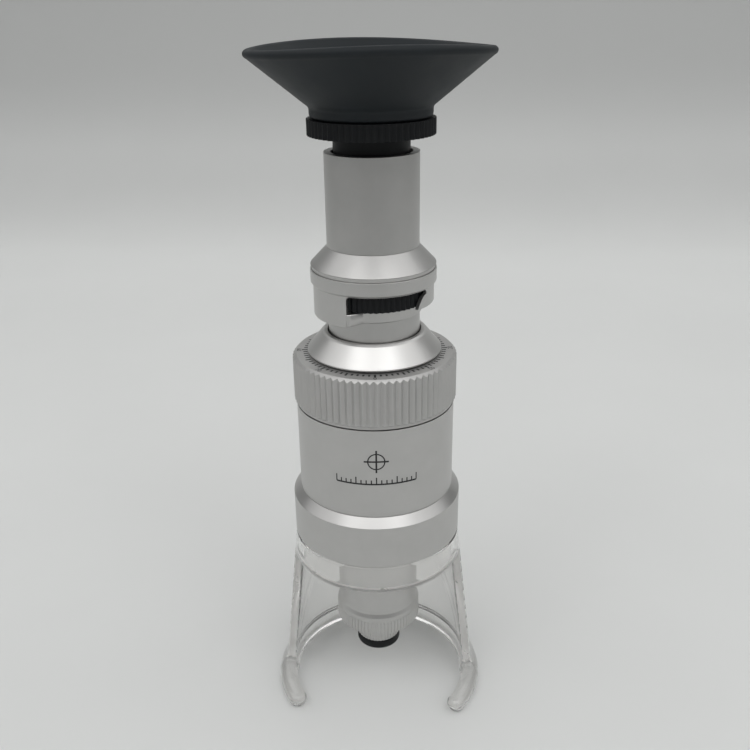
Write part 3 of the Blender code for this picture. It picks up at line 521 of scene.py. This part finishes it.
def net_surface(name, distance, radii, turns, heights):
    """A mesh of quads over the surface where the distance is zero, from a round grid about the Z axis."""
    r, a, z = np.meshgrid(radii, turns, heights, indexing="ij")
    inside = distance(r * np.cos(a), r * np.sin(a), z) < 0
    after = np.roll(inside, -1, axis=1)
    corners = [
        grid[i : i - 1 or None, :, k : k - 1 or None]
        for grid in (inside, after)
        for i in (0, 1)
        for k in (0, 1)
    ]
    filled = sum(corner.astype(int) for corner in corners)
    crossed = (filled > 0) & (filled < 8)
    number = np.full(crossed.shape, -1)
    number[crossed] = np.arange(crossed.sum())
    i, j, k = np.nonzero(crossed)
    mid_r = (radii[i] + radii[i + 1]) / 2
    mid_a = turns[j] + (turns[1] - turns[0]) / 2
    mid_z = (heights[k] + heights[k + 1]) / 2
    points = settle(np.stack([mid_r * np.cos(mid_a), mid_r * np.sin(mid_a), mid_z], axis=1), distance)
    before = np.roll(number, 1, axis=1)
    along_r = (inside[1:] != inside[:-1])[:, :, 1:-1]
    ends_r = [number[:, :, 1:], number[:, :, :-1], before[:, :, :-1], before[:, :, 1:]]
    along_a = (inside != after)[1:-1, :, 1:-1]
    ends_a = [number[1:, :, 1:], number[:-1, :, 1:], number[:-1, :, :-1], number[1:, :, :-1]]
    along_z = (inside[:, :, 1:] != inside[:, :, :-1])[1:-1]
    ends_z = [number[1:], number[:-1], before[:-1], before[1:]]
    crossings = ((ends_r, along_r), (ends_a, along_a), (ends_z, along_z))
    faces = np.concatenate([np.stack(ends, axis=-1)[crossing] for ends, crossing in crossings])
    return tidy_mesh(name, (points * MM).tolist(), faces.tolist())


def make_clear_stand():
    radii = np.arange(NECK_BORE_R - 0.9, FOOT_MID_R + FOOT_HALF_WIDTH + 0.8, NET_STEP_R)
    turns = np.linspace(0, 2 * pi, NET_TURNS, endpoint=False)
    heights = np.arange(-NET_STEP_Z, NECK_TOP_Z + 0.8, NET_STEP_Z)
    mesh = net_surface("clear_stand_fine", stand_distance, radii, turns, heights)
    stand = dress("clear_stand_fine", mesh, "clear_stand", sharp=180)
    stand.modifiers.clear()
    # Cut edges above the foot get the whitened edge material, which is painted light
    stand.data.materials.append(MATERIALS["acrylic_edge_painted_glow"])
    for face in stand.data.polygons:
        middle = face.center / MM
        if middle.z > FOOT_TOP and abs(window_distance(middle.y, middle.z)) < EDGE_STRIP:
            face.material_index = 1


# ---- metal pieces -----------------------------------------------------------------------------


def window_columns():
    """The opening over the wheel. Its right side leans, so the wall there is wider at its foot."""
    for i in range(WINDOW_STEPS + 1):
        share = i / WINDOW_STEPS
        turn = WINDOW_START + (WINDOW_END - WINDOW_START) * share
        from_end = min(turn - WINDOW_START, WINDOW_END - turn)
        top = WINDOW_RIM - CORNER_DROP * max(0.0, 1 - from_end / CORNER_TURN) ** 2
        lean = max(0.0, 1 - (WINDOW_END - turn) / LEAN_TURN)
        height = WINDOW_RIM - CORNER_DROP - LEAN_FOOT - LEAN_GAP
        bottom = LEAN_FOOT + height * (1 - (1 - lean) ** LEAN_BEND)
        yield turn, bottom, top


def wall_cut_columns(below, wall_bottom):
    """What is cut from the wall's foot: a sliver left of the window, then all of it to the wall's end."""
    yield WINDOW_START - LEFT_CURVE, below, wall_bottom
    yield WINDOW_START - 0.5, below, wall_bottom + LEFT_RISE
    span = SHORT_WALL_END - WINDOW_START
    for i in range(WALL_CUT_STEPS + 1):
        yield WINDOW_START + span * i / WALL_CUT_STEPS, below, LEAN_FOOT + 0.02


def wall_foot_sections(wall_bottom):
    """The curved foot that brings the wall in to the sill, to the right of the cut."""
    for i in range(WALL_FOOT_STEPS + 1):
        share = i / WALL_FOOT_STEPS
        r = SILL_FRONT_R + (HOUSING_WALL_R - SILL_FRONT_R) * (0.5 + 0.5 * cos(pi * share))
        low = wall_bottom + LEFT_RISE + (SILL_BOTTOM - wall_bottom - LEFT_RISE) * share
        outline = (
            (WALL_FOOT_INNER_R, low),
            (r - WALL_FOOT_BEVEL, low),
            (r, low + WALL_FOOT_BEVEL),
            (r, LEAN_FOOT - WALL_FOOT_BEVEL),
            (r - WALL_FOOT_BEVEL, LEAN_FOOT),
            (WALL_FOOT_INNER_R, LEAN_FOOT),
        )
        yield WINDOW_START - 0.1 + WALL_FOOT_TURN * share, outline


def make_housing():
    """The wall round the wheel, open at the front, with the foot of its left end running into the sill."""
    low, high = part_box("reticle_housing")
    inner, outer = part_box("reticle_wheel")[1].x / MM - 0.2, high.x / MM + 1
    bottom = low.z / MM
    mesh = turned_mesh("reticle_housing", 0.15, side=-1)
    mesh = cut(mesh, sector_block(inner, outer, list(window_columns())))
    mesh = cut(mesh, sector_block(inner, outer, list(wall_cut_columns(bottom - 1, bottom))))
    dress("reticle_housing_fine", mesh, "reticle_housing")
    foot = swept_sector("housing_wall_foot", list(wall_foot_sections(bottom)))
    dress("housing_wall_foot", foot, "reticle_housing", replaces=False)


def make_main_tube():
    """The sliding tube. Its sill is cut back at the front, under the wheel, with a fine groove below it."""
    points, closed = section_of("main_tube", -1)
    tube_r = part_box("eyepiece_tube")[1].x / MM
    grooved = []
    for r, z in points:
        grooved.append((r, z))
        if abs(z - SILL_BOTTOM) < NEAR and abs(r - tube_r) < 0.5:
            step = [
                (tube_r - GROOVE_DEPTH, SILL_BOTTOM),
                (tube_r - GROOVE_DEPTH, SILL_BOTTOM - GROOVE_HEIGHT),
                (r, SILL_BOTTOM - GROOVE_HEIGHT),
            ]
            before = grooved[-2][1] if len(grooved) > 1 else points[-1][1]
            grooved = grooved[:-1] + (step if before >= z - NEAR else step[::-1])
    mesh = spun_evenly("main_tube_fine", rounded(grooved, closed, 0.08), SIDES, closed)
    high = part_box("main_tube")[1]
    start, end = SILL_FRONT
    arc = [
        (start + (end - start) * i / SILL_STEPS, SILL_BOTTOM - 1, high.z / MM - 0.5)
        for i in range(SILL_STEPS + 1)
    ]
    mesh = cut(mesh, sector_block(SILL_FRONT_R, high.x / MM + 3, arc))
    tube = dress("main_tube_fine", mesh, "main_tube")
    # The tube below its sill keeps the darker aluminium, which is painted shade; the sill above SILL_BOTTOM
    # takes the plain satin aluminium, so it stands out lighter
    tube.data.materials.append(MATERIALS["satin_aluminium"])
    for face in tube.data.polygons:
        if face.center.z / MM > SILL_BOTTOM - NEAR:
            face.material_index = 1


def make_nose_barrel():
    """The nose, which flares a little towards the ring at its lower end."""
    points, closed = section_of("nose_barrel")
    outer, low = max(r for r, z in points), min(z for r, z in points)
    flared = []
    for i, (r, z) in enumerate(points):
        if r < outer - NEAR or z > low + NEAR:
            flared.append((r, z))
            continue
        flare = [(outer + out, low + up) for out, up in NOSE_FLARE]
        flared += flare if points[i - 1][0] > outer - NEAR else flare[::-1]
    mesh = spun_evenly("nose_barrel_fine", rounded(flared, closed, 0.12), SIDES, closed)
    dress("nose_barrel_fine", mesh, "nose_barrel")


def make_eyecup():
    """The soft cup, whose wide rim sags and rises a little round its edge."""
    mesh = turned_mesh("rubber_eyecup", CUP_ROUND, CUP_SIDES)
    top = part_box("rubber_eyecup")[1].z / MM
    for vertex in mesh.vertices:
        share = max(0.0, (vertex.co.z / MM - CUP_NECK_TOP) / (top - CUP_NECK_TOP))
        turn = atan2(vertex.co.x, -vertex.co.y)
        wave = 0.8 * cos(2 * turn) + 0.5 * sin(2 * turn) - 0.35
        vertex.co.z += CUP_WARP * wave * share**2 * MM
    dress("rubber_eyecup_fine", mesh, "rubber_eyecup", sharp=60)


# ---- printed marks ----------------------------------------------------------------------------


def add_mark_mesh(name, pieces, node):
    """One object from several meshes of (points, faces), in printing ink."""
    points, faces = [], []
    for piece_points, piece_faces in pieces:
        start = len(points)
        points += piece_points
        faces += [tuple(start + i for i in face) for face in piece_faces]
    mesh = bpy.data.meshes.new(name)
    mesh.from_pydata(points, [], faces)
    obj = dress(name, mesh, node, MATERIALS["dial_ink"], replaces=False)
    obj.modifiers.clear()


def dial_tick(angle, start, end, z):
    a = radians(angle - 90)
    along, across = Vector((cos(a), sin(a))), Vector((-sin(a), cos(a))) * TICK_WIDTH / 2
    corners = [along * start - across, along * end - across, along * end + across, along * start + across]
    return [(c.x * MM, c.y * MM, z * MM) for c in corners], [(0, 1, 2, 3)]


def numeral(text, size, matrix):
    """The digits as a flat mesh, placed by the matrix."""
    curve = bpy.data.curves.new("numeral", "FONT")
    curve.body = text
    curve.size = size * MM
    curve.align_x = "CENTER"
    curve.resolution_u = 4
    obj = bpy.data.objects.new("numeral", curve)
    bpy.context.scene.collection.objects.link(obj)
    bpy.context.view_layer.update()
    graph = bpy.context.evaluated_depsgraph_get()
    mesh = bpy.data.meshes.new_from_object(obj.evaluated_get(graph), depsgraph=graph)
    bpy.data.objects.remove(obj, do_unlink=True)
    points = [tuple(matrix @ v.co) for v in mesh.vertices]
    return points, [tuple(p.vertices) for p in mesh.polygons]


def make_dial():
    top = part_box("focus_ring")[1].z / MM + INK_RISE
    pieces = []
    for division in range(DIAL_DIVISIONS):
        angle = DIAL_START + 360 * division / DIAL_DIVISIONS
        length = TICK_LONG if division % TICK_LONG_EVERY == 0 else TICK_SHORT
        pieces.append(dial_tick(angle, TICK_START, TICK_START + length, top))
        if division % DIAL_NUMBER_EVERY == 0:
            a = radians(angle)
            place = Matrix.Translation((0, 0, top * MM)) @ Matrix.Rotation(a, 4, "Z")
            place = place @ Matrix.Translation((0, -NUMERAL_R * MM, 0))
            pieces.append(numeral(str(division), NUMERAL_SIZE, place))
    add_mark_mesh("dial_marks", pieces, "focus_ring")


def sleeve_patch(angle_low, angle_high, z_low, z_high, radius):
    steps = max(1, round((angle_high - angle_low) / 2))
    points = []
    for i in range(steps + 1):
        a = radians(angle_low + (angle_high - angle_low) * i / steps - 90)
        points += [(radius * cos(a) * MM, radius * sin(a) * MM, z * MM) for z in (z_low, z_high)]
    return points, [(2 * i, 2 * i + 2, 2 * i + 3, 2 * i + 1) for i in range(steps)]


def sleeve_ring(middle, z, outer, inner, radius, steps=48):
    """A flat ring printed on the sleeve, with its sizes in millimetres along the surface."""
    points = []
    for i in range(steps):
        t = 2 * pi * i / steps
        for size in (inner, outer):
            a = radians(middle - 90) + size * cos(t) / radius
            points.append((radius * cos(a) * MM, radius * sin(a) * MM, (z + size * sin(t)) * MM))
    count = 2 * steps
    return points, [(2 * i, 2 * i + 1, (2 * i + 3) % count, (2 * i + 2) % count) for i in range(steps)]


def make_sleeve_mark():
    """A plain sign on the sleeve: a ring with cross lines over a short ruled bar."""
    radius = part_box("body_sleeve")[1].x / MM + INK_RISE
    degree = 180 / pi / radius
    pieces = [sleeve_ring(CAMERA_TURN, MARK_RING_Z, MARK_RING_OUTER, MARK_RING_INNER, radius)]

    def add_patch(across, half_width, low, high):
        at, half = CAMERA_TURN + across * degree, half_width * degree
        pieces.append(sleeve_patch(at - half, at + half, low, high, radius))

    add_patch(0, MARK_CROSS, MARK_RING_Z - MARK_LINE, MARK_RING_Z + MARK_LINE)
    add_patch(0, MARK_LINE, MARK_RING_Z - MARK_CROSS, MARK_RING_Z + MARK_CROSS)
    add_patch(0, MARK_BAR, MARK_BAR_Z - MARK_LINE, MARK_BAR_Z + MARK_LINE)
    for i in range(2 * MARK_BAR + 1):
        height = MARK_TICK_LONG if i % MARK_LONG_EVERY == 0 else MARK_TICK_SHORT
        add_patch(i - MARK_BAR, MARK_LINE * MARK_TICK_LINE, MARK_BAR_Z, MARK_BAR_Z + height)
    add_mark_mesh("sleeve_mark", pieces, "body_sleeve")


# ---- studio -----------------------------------------------------------------------------------


def grade_paper(material):
    """Paints light and shade onto the paper: fades its colour towards its near end and up the backdrop."""
    tree = material.node_tree
    shader = tree.nodes["Principled BSDF"]
    plain = shader.inputs["Base Color"].links[0].from_socket
    place = tree.nodes.new("ShaderNodeTexCoord").outputs["Object"]
    split = tree.nodes.new("ShaderNodeSeparateXYZ")
    tree.links.new(place, split.inputs["Vector"])
    along = add_node(tree, "ShaderNodeMapRange", From_Min=PAINTED_PAPER_SHADE[0][0], From_Max=PAINTED_PAPER_SHADE[-1][0])
    tree.links.new(split.outputs["Y"], along.inputs["Value"])
    ramp = tree.nodes.new("ShaderNodeValToRGB")
    ramp.color_ramp.interpolation = "EASE"
    stops = ramp.color_ramp.elements
    stops.remove(stops[1])
    first, last = PAINTED_PAPER_SHADE[0][0], PAINTED_PAPER_SHADE[-1][0]
    for i, (y, shade) in enumerate(PAINTED_PAPER_SHADE):
        at = (y - first) / (last - first)
        stop = stops.new(at) if i else stops[0]
        stop.color = (shade, shade, shade, 1)
    tree.links.new(along.outputs["Result"], ramp.inputs["Fac"])
    shaded_paper = tree.nodes.new("ShaderNodeMix")
    shaded_paper.data_type = "RGBA"
    shaded_paper.blend_type = "MULTIPLY"
    shaded_paper.inputs["Factor"].default_value = 1.0
    tree.links.new(plain, shaded_paper.inputs["A"])
    tree.links.new(ramp.outputs["Color"], shaded_paper.inputs["B"])
    tree.links.new(shaded_paper.outputs["Result"], shader.inputs["Base Color"])


def make_sweep():
    """A floor that rises into a backdrop."""
    front, bend, bend_r, top, half = -1.6, 0.38, 0.20, 1.7, 2.2
    floor = -0.00002
    line = [(front, floor)]
    for i in range(25):
        a = radians(90 * i / 24)
        line.append((bend + bend_r * sin(a), floor + bend_r * (1 - cos(a))))
    line.append((bend + bend_r, top))
    points = [(x, y, z) for y, z in line for x in (-half, half)]
    faces = [(2 * i, 2 * i + 1, 2 * i + 3, 2 * i + 2) for i in range(len(line) - 1)]
    mesh = bpy.data.meshes.new("sweep")
    mesh.from_pydata(points, [], faces)
    mesh.shade_smooth()
    paper = finish_material(
        "sweep_paper", ((0.770, 0.780, 0.770), (0.785, 0.795, 0.785)), (0.75, 0.85), 60.0, 1.5, 0.01
    )
    grade_paper(paper)
    mesh.materials.append(paper)
    sweep = bpy.data.objects.new("sweep", mesh)
    bpy.context.scene.collection.objects.link(sweep)


def make_world():
    """A soft sky, brighter overhead than at the sides."""
    world = bpy.data.worlds.new("soft_sky")
    bpy.context.scene.world = world
    world.use_nodes = True
    tree = world.node_tree
    place = tree.nodes.new("ShaderNodeTexCoord").outputs["Generated"]
    split = tree.nodes.new("ShaderNodeSeparateXYZ")
    tree.links.new(place, split.inputs["Vector"])
    ramp = tree.nodes.new("ShaderNodeValToRGB")
    elements = ramp.color_ramp.elements
    elements[0].position, elements[0].color = 0.0, (0.22, 0.225, 0.23, 1)
    elements[1].position, elements[1].color = 1.0, (0.55, 0.55, 0.545, 1)
    tree.links.new(split.outputs["Z"], ramp.inputs["Fac"])
    tree.links.new(ramp.outputs["Color"], tree.nodes["Background"].inputs["Color"])
    tree.nodes["Background"].inputs["Strength"].default_value = 0.55


def add_light(name, place, aim, width, height, watts):
    data = bpy.data.lights.new(name, "AREA")
    data.shape = "RECTANGLE"
    data.size, data.size_y = width, height
    data.energy = watts
    light = bpy.data.objects.new(name, data)
    light.location = place
    light.rotation_euler = (Vector(aim) - Vector(place)).to_track_quat("-Z", "Y").to_euler()
    bpy.context.scene.collection.objects.link(light)


def make_lights():
    add_light("left", (-0.56, -0.12, 0.64), (0, 0.02, 0.05), 0.95, 0.9, 2.0)
    add_light("right", (0.56, -0.12, 0.64), (0, 0.02, 0.05), 0.95, 0.9, 2.3)
    add_light("rear", (0.0, 0.40, 0.55), (0, 0.0, 0.03), 1.0, 0.3, 0.8)
    add_light("overhead", (0.0, -0.48, 0.72), (0, 0.0, 0.05), 1.1, 0.5, 2.7)


def make_camera():
    data = bpy.data.cameras.new("camera")
    data.lens = LENS
    data.sensor_width = SENSOR
    data.clip_start = 0.005
    camera = bpy.data.objects.new("camera", data)
    turn = radians(CAMERA_TURN)
    place = Matrix.Translation((
        CAMERA_REACH * sin(turn) * MM, -CAMERA_REACH * cos(turn) * MM, CAMERA_HEIGHT * MM
    ))
    aim = Matrix.Rotation(turn, 4, "Z") @ Matrix.Rotation(radians(CAMERA_TILT), 4, "X")
    camera.matrix_world = place @ aim @ Matrix.Rotation(radians(CAMERA_ROLL), 4, "Z")
    bpy.context.scene.collection.objects.link(camera)
    bpy.context.scene.camera = camera


def paint_frame_nodes():
    for node, obj in frame["nodes"].items():
        for slot in obj.material_slots:
            slot.material = look_of(node)


def main():
    make_camera()
    paint_frame_nodes()
    make_clear_stand()
    for node in ("base_collar", "cone_collar", "objective_tip", "eyepiece_barrel"):
        turned(node)
    turned("body_sleeve", 0.08)
    turned("housing_cap", 0.08)
    turned("eyepiece_tube", 0.06)
    make_main_tube()
    make_nose_barrel()
    toothed("objective_cell", CELL_TEETH, CELL_TOOTH_DEPTH, 0.05)
    for node in ("eye_lens", "eye_lens_retainer", "objective_front_lens"):
        turned(node, 0.05, 96)
    toothed("focus_ring", RING_TEETH, RING_TOOTH_DEPTH)
    toothed("nose_ring", NOSE_TEETH, NOSE_TOOTH_DEPTH, 0.05)
    toothed("reticle_wheel", WHEEL_TEETH, WHEEL_TOOTH_DEPTH)
    toothed("eyepiece_ring", EYE_TEETH, EYE_TOOTH_DEPTH)
    make_housing()
    make_eyecup()
    make_dial()
    make_sleeve_mark()
    make_sweep()
    make_world()
    make_lights()
    bpy.context.scene.view_settings.view_transform = "Standard"


main()
